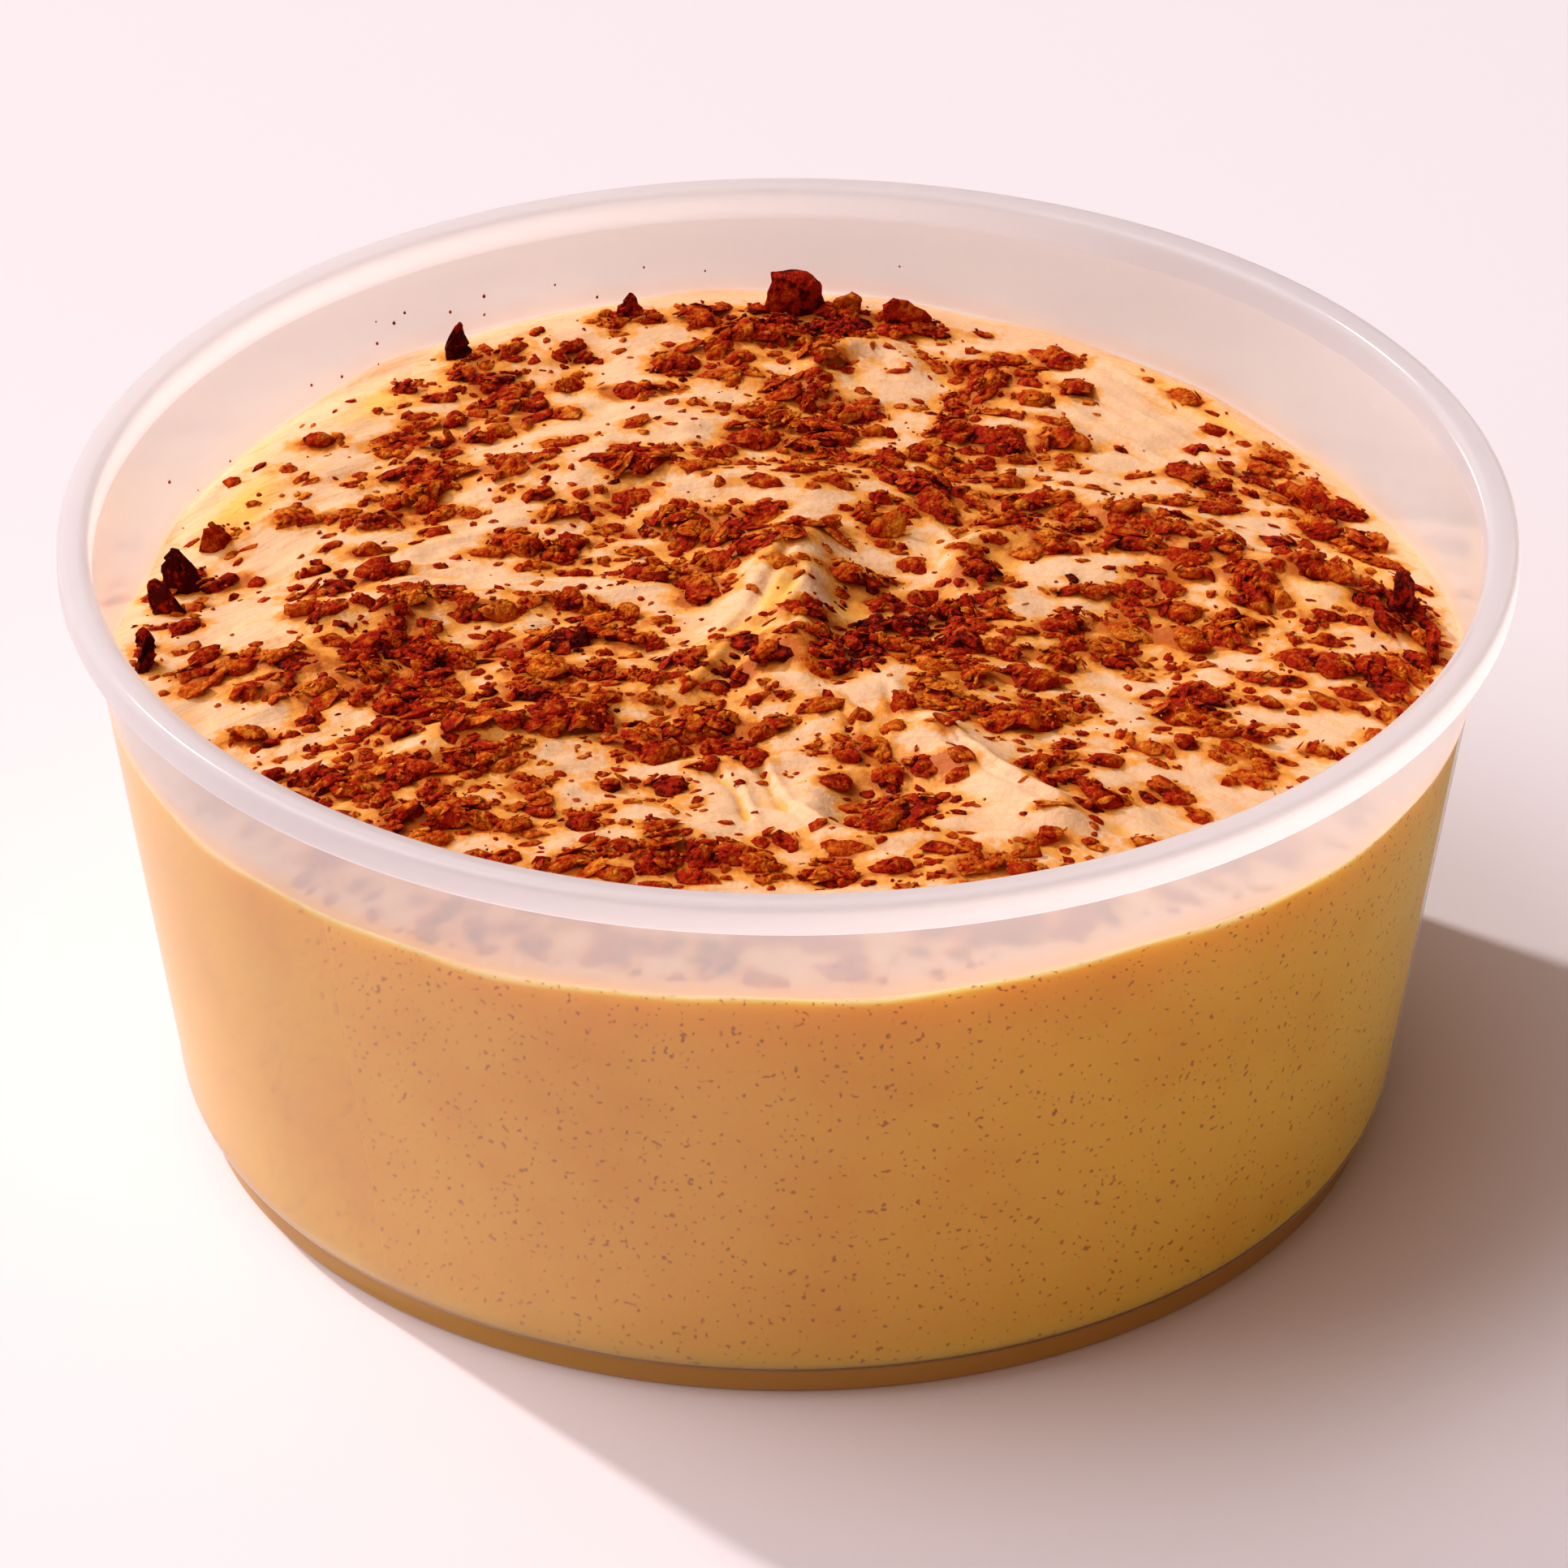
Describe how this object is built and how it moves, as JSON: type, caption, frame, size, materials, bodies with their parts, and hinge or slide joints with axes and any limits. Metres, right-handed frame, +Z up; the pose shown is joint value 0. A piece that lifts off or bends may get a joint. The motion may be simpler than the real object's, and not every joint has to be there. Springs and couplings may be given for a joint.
{
  "type": "tub of tiramisu cream dessert",
  "caption": "Open round frosted plastic tub filled with mascarpone cream dessert, its swirled top strewn with grated dark chocolate.",
  "frame": {"origin": "centre of the tub's foot, on the plane that it stands on", "axes": "+Z up through the open top, -Y towards the side that the picture shows"},
  "size_m": [0.118, 0.118, 0.052],
  "materials": {
    "frosted_polypropylene": "frosted translucent, soft sheen",
    "mascarpone_cream": "moist whipped cream",
    "grated_dark_chocolate": "grated, dull with a faint gloss"
  },
  "bodies": {
    "root": {"tub": "frosted_polypropylene", "cream": "mascarpone_cream"}
  },
  "joints": []
}
